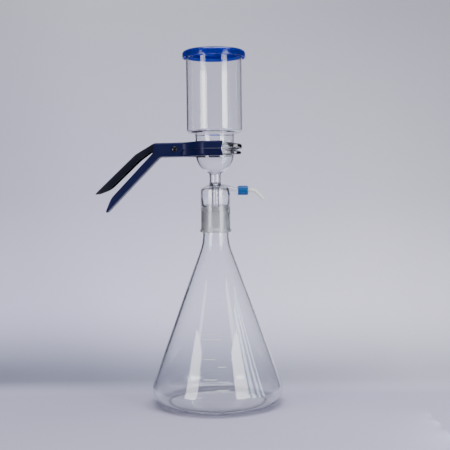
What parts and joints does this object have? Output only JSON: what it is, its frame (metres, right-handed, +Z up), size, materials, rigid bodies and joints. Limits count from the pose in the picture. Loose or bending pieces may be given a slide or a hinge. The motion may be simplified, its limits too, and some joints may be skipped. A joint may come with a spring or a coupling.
{
  "type": "vacuum filtration flask set",
  "caption": "Conical receiver flask with a ground-joint filter head, vacuum side arm, clamped glass funnel and blue lid.",
  "frame": {"origin": "centre of the flask's flat underside, which is the face it stands on", "axes": "+Z up along the glassware's common axis, +X towards the vacuum side arm, clamp handles towards -X"},
  "size_m": [0.239, 0.17, 0.4581],
  "materials": {
    "flask_glass": "clear borosilicate, ground cone at the top",
    "head_glass": "clear borosilicate, ground inside the socket",
    "funnel_glass": "clear borosilicate, ground sealing face",
    "sintered_glass": "matt, fine grained",
    "membrane": "matt white",
    "lid_plastic": "translucent blue, glossy",
    "dark_anodised_aluminium": "very dark blue anodised, satin",
    "blue_anodised_aluminium": "dark blue anodised, satin",
    "pin_steel": "blackened, worn on the head",
    "spring_steel": "drawn wire",
    "cap_plastic": "bright blue, moulded",
    "silicone": "translucent white",
    "barb_plastic": "natural white, slightly translucent"
  },
  "bodies": {
    "receiver": {"receiver_flask": "flask_glass"},
    "head": {"filter_head": "head_glass", "frit_disc": "sintered_glass", "filter_membrane": "membrane", "funnel": "funnel_glass"},
    "lid": {"funnel_lid": "lid_plastic"},
    "clamp": {"pivot_pin": "pin_steel", "pin_retainer": "pin_steel", "torsion_spring": "spring_steel"},
    "upper_arm": {"clamp_upper_arm": "dark_anodised_aluminium"},
    "lower_arm": {"clamp_lower_arm": "blue_anodised_aluminium"},
    "connector": {"connector_seal": "silicone"},
    "cap": {"connector_cap": "cap_plastic"},
    "barb": {"hose_barb": "barb_plastic"}
  },
  "joints": [
    {"name": "head_lift", "type": "slide", "parent": "receiver", "child": "head", "axis": [0, 0, 1], "range_m": [0, 0.06]},
    {"name": "lid_lift", "type": "slide", "parent": "head", "child": "lid", "axis": [0, 0, 1], "range_m": [0, 0.05]},
    {"name": "clamp_slide", "type": "slide", "parent": "head", "child": "clamp", "axis": [-1, 0, 0], "range_m": [0, 0.08]},
    {"name": "upper_arm_open", "type": "hinge", "parent": "clamp", "child": "upper_arm", "pos_m": [-0.0514, 0, 0.33032], "axis": [0, -1, 0], "range_deg": [0, 4], "stiffness_Nm_per_rad": 1.2, "springref_deg": -20.05, "deforming": ["torsion_spring"]},
    {"name": "lower_arm_open", "type": "hinge", "parent": "clamp", "child": "lower_arm", "pos_m": [-0.0514, 0, 0.33032], "axis": [0, 1, 0], "range_deg": [0, 4], "stiffness_Nm_per_rad": 1.2, "springref_deg": -20.05},
    {"name": "connector_travel", "type": "slide", "parent": "head", "child": "connector", "axis": [1, 0, 0], "range_m": [0, 0.009]},
    {"name": "cap_turn", "type": "hinge", "parent": "connector", "child": "cap", "pos_m": [0.0292, 0, 0.27707], "axis": [1, 0, 0], "range_deg": [0, 1081]},
    {"name": "barb_swivel", "type": "hinge", "parent": "connector", "child": "barb", "pos_m": [0.0292, 0, 0.27707], "axis": [1, 0, 0], "range_deg": [-180, 180]}
  ],
  "couplings": [
    {"joint": "lower_arm_open", "follows": "upper_arm_open", "ratio": 1},
    {"joint": "cap_turn", "follows": "connector_travel", "rad_per_m": 2094.4}
  ]
}
